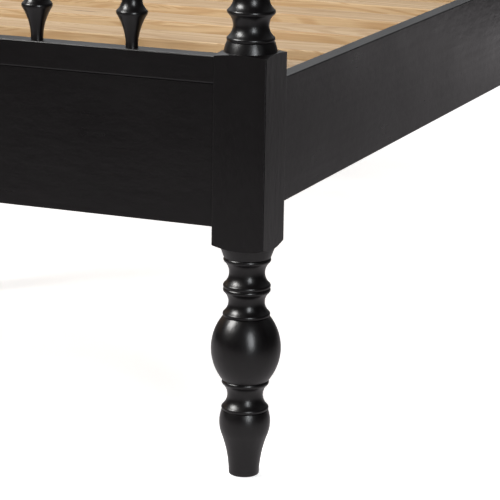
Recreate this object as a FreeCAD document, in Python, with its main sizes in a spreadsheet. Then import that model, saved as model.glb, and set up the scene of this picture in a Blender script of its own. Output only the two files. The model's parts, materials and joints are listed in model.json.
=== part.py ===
import FreeCAD, Part
import math
import os
from types import SimpleNamespace

import Sketcher

# A double bed of painted wood: a foot end and a head end with turned spindles between square-and-turned
# posts, plain side rails, a slat deck on ledgers and a centre beam. Millimetres, +Z up, the foot end
# towards -Y, the origin on the floor under the middle of the bed.

SIZES = {
    # plan, between the posts
    "clear_width": 1326,
    "clear_length": 1930,
    # square stock of the posts
    "post_width": 65,
    "post_edge": 1.5,
    "lower_block_height": 227,
    "upper_block_height": 62,
    "low_shoulder_height": 5.4,
    "shoulder_height": 3,
    # turned elements that the posts and the legs share
    "ring_root_radius": 26.9,
    "ring_height": 5.1,
    "ring_rise": 1.2,
    "groove_width": 0.5,
    "turned_edge_radius": 27.8,
    "cove_height": 26.3,
    "cove_depth": 6.1,
    # turned elements of the posts alone
    "plinth_radius": 31.4,
    "plinth_height": 11.7,
    "plinth_rise": 0.3,
    "post_vase_height": 62,
    "post_vase_rise": 4.6,
    "column_height": 228,
    "column_rise": 3.2,
    # turned leg, from the floor up
    "leg_foot_radius": 18.1,
    "leg_foot_round": 2.2,
    "leg_taper_height": 45.8,
    "leg_taper_hollow": 1.9,
    "leg_ankle_radius": 26.7,
    "leg_vase_height": 31.8,
    "leg_vase_rise": 3,
    "leg_cove_depth": 5.75,
    "leg_bulge_height": 77,
    "leg_bulge_rise": 13.5,
    "leg_short_cove_height": 24.2,
    "leg_short_cove_depth": 5.4,
    "leg_collar_height": 11.8,
    "leg_collar_radius": 32.2,
    # glide under each leg
    "glide_radius": 12,
    "glide_thickness": 3,
    "glide_proud": 1,
    # finials
    "finial_pin_radius": 8,
    "finial_pin_length": 22,
    "finial_base_radius": 26,
    "finial_base_height": 7,
    "finial_neck_radius": 13,
    "finial_base_rise": 1.6,
    "finial_neck_height": 12,
    "finial_neck_hollow": 3.5,
    "finial_bulb_radius": 17,
    "finial_bulb_height": 34,
    "finial_bulb_rise": 9.5,
    "finial_tip_radius": 6.5,
    "finial_tip_height": 6.5,
    "finial_tip_rise": 1.4,
    "finial_crown_radius": 2,
    # the two end boards
    "frame_setback": 3,
    "frame_drop": 1,
    "frame_thickness": 25,
    "frame_height": 200.3,
    "upper_cross_rail_height": 32.1,
    "rail_edge": 1.6,
    "rail_edge_at_panel": 2.4,
    "panel_edge": 0.6,
    "panel_recess": 2,
    "panel_tongue": 7.5,
    "panel_tongue_thickness": 9,
    "panel_dowel_margin": 40,
    "top_rail_height": 42,
    "top_rail_crown": 6,
    # spindles
    "spindle_count": 10,
    "spindle_margin": 109.5,
    "spindle_pin_radius": 5,
    "spindle_pin_length": 12,
    "spindle_foot_radius": 7.4,
    "spindle_foot_height": 6,
    "spindle_trumpet_height": 33,
    "spindle_trumpet_hollow": 2.15,
    "spindle_bead_low_radius": 17.9,
    "spindle_bead_high_radius": 16.9,
    "spindle_bead_height": 5.6,
    "spindle_bead_rise": 1.1,
    "spindle_neck_radius": 12,
    "spindle_neck_height": 13.4,
    "spindle_neck_hollow": 1.6,
    "spindle_vase_rise": 3.2,
    "spindle_waist_radius": 10.5,
    "spindle_flare_height": 18,
    "spindle_middle_bead_height": 7,
    # side rails
    "side_rail_height": 148.3,
    "side_rail_thickness": 20,
    "side_rail_drop": 28.6,
    "side_rail_setback": 3,
    # slat deck
    "ledger_thickness": 20,
    "ledger_height": 36,
    "ledger_drop": 36.4,
    "slat_count": 14,
    "slat_width": 68,
    "slat_thickness": 18,
    "slat_end_gap": 12,
    "slat_edge": 2,
    # centre beam and its support legs
    "beam_width": 30,
    "beam_height": 60,
    "support_width": 45,
    "support_edge": 2,
    "support_spacing": 740,
    "support_floor_gap": 24,
    # levelling feet
    "leveller_stem_radius": 4,
    "leveller_stem_length": 40,
    "leveller_pad_radius": 20,
    "leveller_pad_height": 8,
    "leveller_pad_round": 2,
    "leveller_hex_width": 17,
    "leveller_hex_height": 4,
    "leveller_bore_depth": 42,
    "leveller_bore_gap": 0.5,
    "insert_flange_radius": 10.5,
    "insert_flange_thickness": 1.5,
    "insert_barrel_radius": 5.5,
    "insert_barrel_length": 12,
    # corner brackets of the side rails
    "bracket_height": 62,
    "bracket_drop": 2,
    "bracket_side_gap": 2,
    "bracket_reach": 58,
    "bracket_steel": 2.5,
    "bracket_bolt_spacing": 34,
    "bolt_radius": 4,
    "bolt_length": 24,
    "bolt_head_radius": 6.5,
    "bolt_head_height": 5,
    "bolt_socket_radius": 2.9,
    "bolt_socket_depth": 3,
    "sleeve_radius": 6,
    "sleeve_length": 25,
    # screws
    "bracket_screw_radius": 1.9,
    "bracket_screw_length": 15,
    "bracket_screw_head_radius": 4,
    "bracket_screw_head_height": 2,
    "bracket_screw_spacing": 26,
    "bracket_screw_end_gap": 14,
    "wood_screw_radius": 2,
    "wood_screw_length": 35,
    "wood_screw_head_radius": 4,
    "wood_screw_head_height": 2.5,
    "ledger_screw_count": 6,
    "ledger_screw_end_gap": 90,
    "ledger_screw_height": 10,
    # hangers of the centre beam
    "hanger_steel": 3,
    "hanger_plate_width": 70,
    "hanger_plate_margin": 6,
    "hanger_saddle_length": 35,
    "hanger_cheek_height": 42,
    "hanger_screw_spacing": 50,
    "hanger_screw_height": 20,
    # hanger bolts and dowels
    "hanger_bolt_radius": 4,
    "hanger_bolt_length": 80,
    "dowel_radius": 4,
    "dowel_length": 60,
    "dowel_spacing": 11,
    # clearances
    "fit_gap": 0.1,
    "end_gap": 0.3,
    "thread_gap": 0.05,
    "slat_side_gap": 2,
}

CORNER_RATIO = 0.708  # radius that just clears a square's corners, as a share of its width
QUARTER_RISE = 1 - math.sqrt(0.5)  # height of a quarter circle's arc over its chord, at radius 1
HEX_CORNER_RATIO = 1 / math.sqrt(3)  # corner radius of a hexagon, as a share of its width across flats

doc = FreeCAD.newDocument("spindle_bed")
sheet = doc.addObject("Spreadsheet::Sheet", "sizes")
for row, (alias, number) in enumerate(SIZES.items(), start=1):
    sheet.set(f"A{row}", alias.replace("_", " "))
    sheet.set(f"B{row}", str(number))
    sheet.setAlias(f"B{row}", alias)
doc.recompute()


class Size:
    """A length: its value, and the formula over the sheet's cells that gives it."""

    def __init__(self, value, formula):
        self.value = value
        self.formula = formula

    def __add__(self, other):
        other = as_size(other)
        return Size(self.value + other.value, f"({self.formula} + {other.formula})")

    def __sub__(self, other):
        other = as_size(other)
        return Size(self.value - other.value, f"({self.formula} - {other.formula})")

    def __mul__(self, other):
        other = as_size(other)
        return Size(self.value * other.value, f"({self.formula} * {other.formula})")

    def __truediv__(self, other):
        other = as_size(other)
        return Size(self.value / other.value, f"({self.formula} / {other.formula})")

    def __neg__(self):
        return self * -1


def as_size(number):
    return number if isinstance(number, Size) else Size(float(number), f"({number!r})")


s = SimpleNamespace(**{alias: Size(sheet.get(alias), f"sizes.{alias}") for alias in SIZES})
ZERO = as_size(0)


# --- sketches ---------------------------------------------------------------------------------------


def origin_item(body, role):
    return next(item for item in body.Origin.OriginFeatures if item.Role == role)


def sketch_on(body, plane, shift=(ZERO, ZERO, ZERO)):
    """A sketch on one of the body's own planes, shifted along the sketch's x, its y and its normal."""
    sketch = body.newObject("Sketcher::SketchObject", f"{body.Name}_sketch")
    sketch.AttachmentSupport = [(origin_item(body, plane), "")]
    sketch.MapMode = "FlatFace"
    for axis, size in zip("xyz", shift):
        if size is not ZERO:
            sketch.setExpression(f"AttachmentOffset.Base.{axis}", size.formula)
    return sketch


def hold(sketch, constraints):
    """Adds constraints, each a tuple of its kind and references, with a Size last where it has one."""
    built = []
    for constraint in constraints:
        size = constraint[-1]
        values = (*constraint[:-1], size.value) if isinstance(size, Size) else constraint
        built.append(Sketcher.Constraint(*values))
    for index, constraint in zip(sketch.addConstraint(built), constraints):
        if isinstance(constraint[-1], Size):
            sketch.setExpression(f"Constraints[{index}]", constraint[-1].formula)


def fixed_point(item, end, x, y):
    """Holds one end of a sketch item at x, y. Coordinates that are ZERO lie on the sketch's own axes."""
    if x is ZERO and y is ZERO:
        return [("Coincident", item, end, -1, 1)]
    if x is ZERO:
        return [("PointOnObject", item, end, -2), ("DistanceY", -1, 1, item, end, y)]
    if y is ZERO:
        return [("DistanceX", -1, 1, item, end, x), ("PointOnObject", item, end, -1)]
    return [("DistanceX", -1, 1, item, end, x), ("DistanceY", -1, 1, item, end, y)]


def circle(sketch, x, y, radius):
    centre = FreeCAD.Vector(x.value, y.value, 0)
    item = sketch.addGeometry(Part.Circle(centre, FreeCAD.Vector(0, 0, 1), radius.value))
    hold(sketch, [("Radius", item, radius), *fixed_point(item, 3, x, y)])


def arc_through(start, end, rise):
    """An arc that bows out by rise to the right of the way from start to end; a rise below 0 bows left."""
    chord = end - start
    right = FreeCAD.Vector(chord.y, -chord.x, 0).normalize()
    radius = (chord.Length**2 / 4 + rise**2) / (2 * abs(rise))
    centre = (start + end) * 0.5 + right * (rise - math.copysign(radius, rise))
    first, last = (start, end) if rise > 0 else (end, start)
    angles = [math.atan2(point.y - centre.y, point.x - centre.x) for point in (first, last)]
    return Part.ArcOfCircle(Part.Circle(centre, FreeCAD.Vector(0, 0, 1), radius), *angles)


def arc_radius(start, end, rise):
    """The radius of the arc over the chord from start to end, as a Size."""
    across = end[0] - start[0]
    along = end[1] - start[1]
    height = rise if rise.value > 0 else -rise
    return ((across * across + along * along) / 4 + rise * rise) / (height * 2)


def outline(sketch, corners):
    """A closed loop through corners (x, y) or (x, y, rise), where rise bows the stretch that arrives."""
    first_item = sketch.GeometryCount
    stretches = []
    ends = []
    radii = []
    for index, corner in enumerate(corners):
        after = corners[(index + 1) % len(corners)]
        start = FreeCAD.Vector(corner[0].value, corner[1].value, 0)
        end = FreeCAD.Vector(after[0].value, after[1].value, 0)
        item = first_item + index
        if len(after) == 2:
            stretches.append(Part.LineSegment(start, end))
            ends.append((item, 1, 2))
            continue
        rise = after[2]
        stretches.append(arc_through(start, end, rise.value))
        ends.append((item, 1, 2) if rise.value > 0 else (item, 2, 1))
        radii.append(("Radius", item, arc_radius(corner, after, rise)))
    sketch.addGeometry(stretches)
    joined = []
    for index, corner in enumerate(corners):
        item, first, _ = ends[index]
        before, _, last = ends[index - 1]
        joined.append(("Coincident", before, last, item, first))
        joined.extend(fixed_point(item, first, corner[0], corner[1]))
    hold(sketch, joined + radii)


def rectangle(sketch, left, bottom, right, top):
    outline(sketch, [(left, bottom), (right, bottom), (right, top), (left, top)])


def eased_rectangle(sketch, left, bottom, right, top, low_round, top_round):
    """A rectangle with rounded corners, one radius for the lower pair and one for the upper pair."""
    low_rise = low_round * QUARTER_RISE
    top_rise = top_round * QUARTER_RISE
    corners = [
        (left + low_round, bottom, low_rise),
        (right - low_round, bottom),
        (right, bottom + low_round, low_rise),
        (right, top - top_round),
        (right - top_round, top, top_rise),
        (left + top_round, top),
        (left, top - top_round, top_rise),
        (left, bottom + low_round),
    ]
    outline(sketch, corners)


# --- features ---------------------------------------------------------------------------------------


def feature(body, kind, **properties):
    item = body.newObject(f"PartDesign::{kind}", f"{body.Name}_{kind.lower()}")
    for name, setting in properties.items():
        if isinstance(setting, Size):
            item.setExpression(name, setting.formula)
        else:
            setattr(item, name, setting)
    body.Tip = item
    return item


def pad(body, sketch, length, symmetric=False):
    side = "Symmetric" if symmetric else "One side"
    return feature(body, "Pad", Profile=sketch, Length=length, SideType=side)


def pocket(body, sketch, depth, along_normal=False, symmetric=False):
    """Cuts against the sketch's normal, or along it."""
    side = "Symmetric" if symmetric else "One side"
    return feature(body, "Pocket", Profile=sketch, Length=depth, SideType=side, Reversed=along_normal)


def revolve(body, sketch, axis="V_Axis"):
    return feature(body, "Revolution", Profile=sketch, ReferenceAxis=(sketch, [axis]), Angle=360)


def row_of(body, originals, axis, length, count):
    return feature(
        body,
        "LinearPattern",
        Originals=originals,
        Direction=(origin_item(body, axis), [""]),
        Length=length,
        Occurrences=count,
    )


def mirrored(body, originals, plane):
    return feature(body, "Mirrored", Originals=originals, MirrorPlane=(origin_item(body, plane), [""]))


def repeated(body, originals, rows=(), mirrors=()):
    """Repeats features in rows (axis, length, count), and then in mirror planes."""
    steps = []
    for axis, length, count in rows:
        step = doc.addObject("PartDesign::LinearPattern", f"{body.Name}_row")
        step.Direction = (origin_item(body, axis), [""])
        step.setExpression("Length", length.formula)
        step.setExpression("Occurrences", as_size(count).formula)
        steps.append(step)
    for plane in mirrors:
        step = doc.addObject("PartDesign::Mirrored", f"{body.Name}_mirror")
        step.MirrorPlane = (origin_item(body, plane), [""])
        steps.append(step)
    doc.recompute()
    return feature(body, "MultiTransform", Originals=originals, Transformations=steps)


parts = {}


def new_body(label, x=ZERO, y=ZERO, z=ZERO):
    body = doc.addObject("PartDesign::Body", label)
    body.Label = label
    for axis, size in zip("xyz", (x, y, z)):
        if size is not ZERO:
            body.setExpression(f"Placement.Base.{axis}", size.formula)
    parts[label] = body
    return body


# --- turned outlines --------------------------------------------------------------------------------


class Turning:
    """The outline of a turned piece, drawn upwards: x is its radius, y its height."""

    def __init__(self, radius, level):
        self.level = level
        self.corners = [(radius, level)]

    def go(self, radius, height=ZERO, bow=None):
        """Goes up by height to a new radius, straight, or bowed outwards (inwards if below 0)."""
        if height is not ZERO:
            self.level = self.level + height
        corner = (radius, self.level)
        self.corners.append(corner if bow is None else (*corner, bow))

    def ring(self):
        self.go(s.ring_root_radius, s.ring_height, s.ring_rise)

    def cove(self, height, depth):
        self.go(s.ring_root_radius, height, -depth)

    def groove_in(self):
        self.go(s.ring_root_radius, s.groove_width)

    def groove_out(self):
        self.go(s.turned_edge_radius, s.groove_width)

    def swell(self, height, rise):
        self.go(s.turned_edge_radius, height, rise)


def revolved(label, corners, x=ZERO, y=ZERO, z=ZERO):
    body = new_body(label, x, y, z)
    sketch = sketch_on(body, "XZ_Plane")
    outline(sketch, corners)
    revolve(body, sketch)
    return body


# --- places that several pieces share ---------------------------------------------------------------

ENDS = {"foot": -1, "head": 1}
SIDES = {"left": -1, "right": 1}

post_x = s.clear_width / 2 + s.post_width / 2
post_y = s.clear_length / 2 + s.post_width / 2
spindle_run = s.clear_width - s.spindle_margin * 2
bolt_hole_radius = s.hanger_bolt_radius + s.fit_gap
bolt_hole_depth = s.hanger_bolt_length / 2 + s.end_gap
dowel_hole_radius = s.dowel_radius + s.fit_gap
dowel_hole_depth = s.dowel_length / 2 + s.end_gap


# --- legs -------------------------------------------------------------------------------------------


def leg_turning():
    """The turned leg from its glide pocket to its top: taper, vase, cove, bulge, two coves, collar."""
    turning = Turning(s.glide_radius + s.fit_gap, s.glide_proud)
    turning.go(s.leg_foot_radius - s.leg_foot_round)
    turning.go(s.leg_foot_radius, s.leg_foot_round, s.leg_foot_round * QUARTER_RISE)
    turning.go(s.leg_ankle_radius, s.leg_taper_height, -s.leg_taper_hollow)
    turning.swell(s.leg_vase_height, s.leg_vase_rise)
    turning.groove_in()
    turning.ring()
    turning.cove(s.cove_height, s.leg_cove_depth)
    turning.ring()
    turning.groove_out()
    turning.swell(s.leg_bulge_height, s.leg_bulge_rise)
    turning.groove_in()
    turning.ring()
    turning.cove(s.leg_short_cove_height, s.leg_short_cove_depth)
    turning.ring()
    turning.ring()
    turning.cove(s.cove_height, s.leg_cove_depth)
    turning.ring()
    turning.groove_out()
    turning.go(s.leg_collar_radius, s.leg_collar_height)
    return turning


leg_outline = leg_turning()
leg_top = leg_outline.level


def leg(label, side, end):
    top_bore_floor = leg_top - bolt_hole_depth
    bores = [
        (bolt_hole_radius, leg_top),
        (bolt_hole_radius, top_bore_floor),
        (ZERO, top_bore_floor),
        (ZERO, s.glide_thickness),
        (s.glide_radius + s.fit_gap, s.glide_thickness),
    ]
    revolved(label, leg_outline.corners + bores, post_x * side, post_y * end)


# --- posts ------------------------------------------------------------------------------------------


def turned_group(turning):
    """Ring, cove, ring, cove, ring."""
    turning.ring()
    turning.cove(s.cove_height, s.cove_depth)
    turning.ring()
    turning.cove(s.cove_height, s.cove_depth)
    turning.ring()


def vase(turning):
    turning.groove_out()
    turning.swell(s.post_vase_height, s.post_vase_rise)
    turning.groove_in()


def link(turning):
    """Ring, cove, ring."""
    turning.ring()
    turning.cove(s.cove_height, s.cove_depth)
    turning.ring()


def post_turning(tall):
    """A post's outline, and the heights at which its upper block starts and ends, from the leg's top."""
    corner_radius = s.post_width * CORNER_RATIO
    turning = Turning(bolt_hole_radius, ZERO)
    turning.go(s.leg_collar_radius)
    turning.go(corner_radius, s.low_shoulder_height)
    turning.go(corner_radius, s.lower_block_height - s.low_shoulder_height)
    turning.go(s.plinth_radius, s.shoulder_height)
    turning.go(s.turned_edge_radius, s.plinth_height, s.plinth_rise)
    turning.groove_in()
    turned_group(turning)
    vase(turning)
    if tall:
        link(turning)
        turning.groove_out()
        turning.swell(s.column_height, s.column_rise)
        turning.groove_in()
        link(turning)
        vase(turning)
    turned_group(turning)
    turning.groove_out()
    turning.go(s.plinth_radius, s.plinth_height, s.plinth_rise)
    turning.go(corner_radius, s.shoulder_height)
    block_bottom = turning.level
    turning.go(corner_radius, s.upper_block_height)
    turning.go(s.plinth_radius, s.shoulder_height)
    return turning, block_bottom


post_outlines = {"foot": post_turning(tall=False), "head": post_turning(tall=True)}
rail_top = leg_top + s.lower_block_height - s.frame_drop
post_top = {name: leg_top + turning.level for name, (turning, _) in post_outlines.items()}
top_rail_bottom = {
    name: leg_top + block_bottom + (s.upper_block_height - s.top_rail_height) / 2
    for name, (_, block_bottom) in post_outlines.items()
}

# lower frames of the end boards
board_y = s.clear_length / 2 + s.post_width - s.frame_setback - s.frame_thickness / 2
board_inner_face = board_y - s.frame_thickness / 2
frame_bottom = rail_top - s.frame_height
upper_cross_rail_bottom = rail_top - s.upper_cross_rail_height
upper_dowel_level = (s.upper_cross_rail_height + s.panel_tongue) / 2
top_dowel_level = s.top_rail_height / 2
panel_height = upper_cross_rail_bottom - frame_bottom
panel_thickness = s.frame_thickness - s.panel_recess
panel_shift = -s.panel_recess / 2
hanger_screw_xs = (-s.hanger_screw_spacing / 2, s.hanger_screw_spacing / 2)
hanger_screw_levels = (frame_bottom + s.hanger_screw_height, upper_cross_rail_bottom + upper_dowel_level)


def side_by_side(level):
    """Places of two dowels across a cross bar's thickness: distance outwards from its middle, height."""
    return [(-s.dowel_spacing / 2, level), (s.dowel_spacing / 2, level)]


panel_dowels = [(panel_shift, s.panel_dowel_margin), (panel_shift, panel_height - s.panel_dowel_margin)]

# side rails, ledgers and slats
side_rail_x = s.clear_width / 2 + s.post_width - s.side_rail_setback - s.side_rail_thickness / 2
side_rail_inner = side_rail_x - s.side_rail_thickness / 2
side_rail_top = rail_top - s.side_rail_drop
side_rail_bottom = side_rail_top - s.side_rail_height
ledger_x = side_rail_inner - s.ledger_thickness / 2
ledger_inner = side_rail_inner - s.ledger_thickness
ledger_top = side_rail_top - s.ledger_drop
ledger_bottom = ledger_top - s.ledger_height
slat_top = ledger_top + s.slat_thickness
slat_first = -(s.clear_length / 2 - s.slat_end_gap - s.slat_width / 2)
slat_run = -slat_first * 2
ledger_screw_level = ledger_bottom + s.ledger_screw_height
ledger_screw_first = -(s.clear_length / 2 - s.ledger_screw_end_gap)
ledger_screw_run = -ledger_screw_first * 2

# corner brackets of the side rails
bracket_bottom = ledger_bottom - s.bracket_drop - s.bracket_height
bracket_middle = bracket_bottom + s.bracket_height / 2
bracket_outer_x = s.clear_width / 2 + s.bracket_side_gap
bracket_bolt_x = (bracket_outer_x + side_rail_inner - s.bracket_steel) / 2
bracket_bolt_levels = (
    bracket_middle - s.bracket_bolt_spacing / 2,
    bracket_middle + s.bracket_bolt_spacing / 2,
)
bracket_face_y = s.clear_length / 2 - s.bracket_steel
bracket_screw_last = s.clear_length / 2 - s.bracket_reach + s.bracket_screw_end_gap
bracket_screw_low = bracket_middle - s.bracket_screw_spacing / 2

# centre beam and its support legs
beam_bottom = ledger_top - s.beam_height
support_y = s.support_spacing / 2
insert_bottom = s.support_floor_gap - s.insert_flange_thickness


def board_dowel_places(name):
    """Places of every dowel between one end's boards and a post, the heights from the floor."""
    places = side_by_side(upper_cross_rail_bottom + upper_dowel_level)
    places += [(offset, frame_bottom + level) for offset, level in panel_dowels]
    return places + side_by_side(top_rail_bottom[name] + top_dowel_level)


def post(label, side, end, name):
    """One post: turned between its two square blocks, bored for leg, finial, dowels and bracket bolts."""
    turning, _ = post_outlines[name]
    top = turning.level
    pin_hole_radius = s.finial_pin_radius + s.fit_gap
    pin_hole_floor = top - s.finial_pin_length - s.end_gap
    bores = [
        (pin_hole_radius, top),
        (pin_hole_radius, pin_hole_floor),
        (ZERO, pin_hole_floor),
        (ZERO, bolt_hole_depth),
        (bolt_hole_radius, bolt_hole_depth),
    ]
    body = revolved(label, turning.corners + bores, post_x * side, post_y * end, leg_top)

    half = s.post_width / 2
    square = sketch_on(body, "XY_Plane")
    circle(square, ZERO, ZERO, s.post_width)
    eased_rectangle(square, -half, -half, half, half, s.post_edge, s.post_edge)
    feature(body, "Pocket", Profile=square, Type="ThroughAll", Reversed=True)

    dowels = sketch_on(body, "YZ_Plane", (ZERO, ZERO, -half * side))
    board_offset = (board_y - post_y) * end
    for offset, level in board_dowel_places(name):
        circle(dowels, board_offset + offset * end, level - leg_top, dowel_hole_radius)
    pocket(body, dowels, dowel_hole_depth, along_normal=side > 0)

    sleeves = sketch_on(body, "XZ_Plane", (ZERO, ZERO, half * end))
    for level in bracket_bolt_levels:
        circle(sleeves, (bracket_bolt_x - post_x) * side, level - leg_top, s.sleeve_radius + s.fit_gap)
    pocket(body, sleeves, s.sleeve_length + s.end_gap, along_normal=end < 0)


# --- finials ----------------------------------------------------------------------------------------


def finial(label, side, end, name):
    turning = Turning(ZERO, ZERO)
    turning.go(s.finial_pin_radius)
    turning.go(s.finial_pin_radius, s.finial_pin_length)
    turning.go(s.finial_base_radius)
    turning.go(s.finial_base_radius, s.finial_base_height, s.finial_base_rise)
    turning.go(s.finial_neck_radius, s.finial_neck_height, -s.finial_neck_hollow)
    turning.go(s.finial_bulb_radius)
    turning.go(s.finial_tip_radius, s.finial_bulb_height, s.finial_bulb_rise)
    turning.go(s.finial_crown_radius, s.finial_tip_height, s.finial_tip_rise)
    turning.go(ZERO)
    revolved(label, turning.corners, post_x * side, post_y * end, post_top[name] - s.finial_pin_length)


# --- end boards -------------------------------------------------------------------------------------


def cross_bar(label, end, bottom, height, low_round, top_round):
    """A straight bar between the posts of one end, its section standing on the body's origin."""
    body = new_body(label, ZERO, board_y * end, bottom)
    section = sketch_on(body, "YZ_Plane")
    half = s.frame_thickness / 2
    eased_rectangle(section, -half, ZERO, half, height, low_round, top_round)
    pad(body, section, s.clear_width, symmetric=True)
    return body


def bore_ends(body, end, places):
    """Dowel holes in both ends of a cross bar or panel."""
    holes = sketch_on(body, "YZ_Plane", (ZERO, ZERO, s.clear_width / 2))
    for offset, level in places:
        circle(holes, offset * end, level, dowel_hole_radius)
    mirrored(body, [pocket(body, holes, dowel_hole_depth)], "YZ_Plane")


def bore_spindle_row(body, face_level, upwards):
    """Holes for the spindles' pins, in the top or the underside of a cross bar."""
    shift = ZERO if upwards else face_level
    hole = sketch_on(body, "XY_Plane", (ZERO, ZERO, shift))
    circle(hole, -spindle_run / 2, ZERO, s.spindle_pin_radius + s.fit_gap)
    first = pocket(body, hole, s.spindle_pin_length + s.end_gap, along_normal=upwards)
    row_of(body, [first], "X_Axis", spindle_run, s.spindle_count)


def bore_hanger_screws(body, end, level):
    """Pilot holes for the beam hanger's screws, in the inner face of a cross bar or panel."""
    holes = sketch_on(body, "XZ_Plane", (ZERO, ZERO, s.frame_thickness / 2 * end))
    for x in hanger_screw_xs:
        circle(holes, x, level, s.bracket_screw_radius + s.fit_gap)
    pocket(body, holes, s.bracket_screw_length - s.hanger_steel + s.end_gap, along_normal=end < 0)


def panel(name, end):
    """A board under the upper cross rail, its tongue in the rail's groove, its inner face flush with it."""
    body = new_body(f"{name}_panel", ZERO, board_y * end, frame_bottom)
    middle = panel_shift * end
    section = sketch_on(body, "YZ_Plane")
    half = panel_thickness / 2
    eased_rectangle(section, middle - half, ZERO, middle + half, panel_height, s.rail_edge, s.panel_edge)
    pad(body, section, s.clear_width, symmetric=True)

    tongue = sketch_on(body, "YZ_Plane")
    half = s.panel_tongue_thickness / 2
    rectangle(tongue, middle - half, panel_height / 2, middle + half, panel_height + s.panel_tongue)
    pad(body, tongue, s.clear_width - s.end_gap * 2, symmetric=True)
    bore_hanger_screws(body, end, s.hanger_screw_height)
    bore_ends(body, end, panel_dowels)


def end_board(name, end):
    """The lower frame of one end (a cross rail and the panel under it) and its top rail."""
    height = s.upper_cross_rail_height
    label = f"{name}_upper_cross_rail"
    bar = cross_bar(label, end, upper_cross_rail_bottom, height, s.rail_edge_at_panel, s.rail_edge)
    groove = sketch_on(bar, "YZ_Plane")
    middle = panel_shift * end
    half = s.panel_tongue_thickness / 2 + s.fit_gap
    rectangle(groove, middle - half, ZERO, middle + half, s.panel_tongue + s.end_gap)
    pocket(bar, groove, s.clear_width, symmetric=True)
    bore_spindle_row(bar, height, upwards=False)
    bore_hanger_screws(bar, end, upper_dowel_level)
    bore_ends(bar, end, side_by_side(upper_dowel_level))

    panel(name, end)

    bottom = top_rail_bottom[name]
    bar = cross_bar(f"{name}_top_rail", end, bottom, s.top_rail_height, s.rail_edge, s.top_rail_crown)
    bore_spindle_row(bar, ZERO, upwards=True)
    bore_ends(bar, end, side_by_side(top_dowel_level))


# --- spindles ---------------------------------------------------------------------------------------


def spindle_end(turning):
    """Foot, trumpet, bead and neck, drawn upwards."""
    turning.go(s.spindle_foot_radius)
    turning.go(s.spindle_foot_radius, s.spindle_foot_height)
    turning.go(s.spindle_bead_low_radius, s.spindle_trumpet_height, -s.spindle_trumpet_hollow)
    turning.go(s.spindle_bead_high_radius, s.spindle_bead_height, s.spindle_bead_rise)
    turning.go(s.spindle_neck_radius, s.spindle_neck_height, -s.spindle_neck_hollow)


def spindle_end_reversed(turning):
    """The same from the neck to the foot, still drawn upwards."""
    turning.go(s.spindle_bead_high_radius, s.spindle_neck_height, -s.spindle_neck_hollow)
    turning.go(s.spindle_bead_low_radius, s.spindle_bead_height, s.spindle_bead_rise)
    turning.go(s.spindle_foot_radius, s.spindle_trumpet_height, -s.spindle_trumpet_hollow)
    turning.go(s.spindle_foot_radius, s.spindle_foot_height)


def spindle_turning(length, tall):
    end_height = (
        s.spindle_foot_height + s.spindle_trumpet_height + s.spindle_bead_height + s.spindle_neck_height
    )
    middle = length - end_height * 2
    turning = Turning(ZERO, ZERO)
    turning.go(s.spindle_pin_radius)
    turning.go(s.spindle_pin_radius, s.spindle_pin_length)
    spindle_end(turning)
    if tall:
        taper = (middle - s.spindle_middle_bead_height) / 2 - s.spindle_flare_height
        turning.go(s.spindle_waist_radius, taper, s.spindle_vase_rise)
        turning.go(s.spindle_bead_high_radius, s.spindle_flare_height, -s.spindle_neck_hollow)
        turning.go(s.spindle_bead_high_radius, s.spindle_middle_bead_height, s.spindle_bead_rise)
        turning.go(s.spindle_waist_radius, s.spindle_flare_height, -s.spindle_neck_hollow)
        turning.go(s.spindle_neck_radius, taper, s.spindle_vase_rise)
    else:
        turning.go(s.spindle_neck_radius, middle, s.spindle_vase_rise)
    spindle_end_reversed(turning)
    turning.go(s.spindle_pin_radius)
    turning.go(s.spindle_pin_radius, s.spindle_pin_length)
    turning.go(ZERO)
    return turning


def spindles(name, end):
    turning = spindle_turning(top_rail_bottom[name] - rail_top, tall=name == "head")
    pitch = spindle_run / (s.spindle_count - 1)
    for index in range(int(s.spindle_count.value)):
        x = pitch * as_size(index) - spindle_run / 2
        label = f"{name}_spindle_{index + 1:02d}"
        revolved(label, turning.corners, x, board_y * end, rail_top - s.spindle_pin_length)


# --- side rails and ledgers -------------------------------------------------------------------------


def side_rail(label, side):
    body = new_body(label, side_rail_x * side, ZERO, side_rail_bottom)
    half = s.side_rail_thickness / 2
    section = sketch_on(body, "XZ_Plane")
    eased_rectangle(section, -half, ZERO, half, s.side_rail_height, s.rail_edge, s.rail_edge)
    pad(body, section, s.clear_length, symmetric=True)

    inner_face = (ZERO, ZERO, -half * side)
    hole = sketch_on(body, "YZ_Plane", inner_face)
    circle(hole, ledger_screw_first, ledger_screw_level - side_rail_bottom, s.wood_screw_radius + s.fit_gap)
    depth = s.wood_screw_length - s.ledger_thickness + s.end_gap
    first = pocket(body, hole, depth, along_normal=side > 0)
    row_of(body, [first], "Y_Axis", ledger_screw_run, s.ledger_screw_count)

    holes = sketch_on(body, "YZ_Plane", inner_face)
    for row in range(2):
        for column in range(2):
            y = bracket_screw_last + s.bracket_screw_spacing * row
            z = bracket_screw_low + s.bracket_screw_spacing * column - side_rail_bottom
            circle(holes, y, z, s.bracket_screw_radius + s.fit_gap)
    depth = s.bracket_screw_length - s.bracket_steel + s.end_gap
    mirrored(body, [pocket(body, holes, depth, along_normal=side > 0)], "XZ_Plane")


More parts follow.
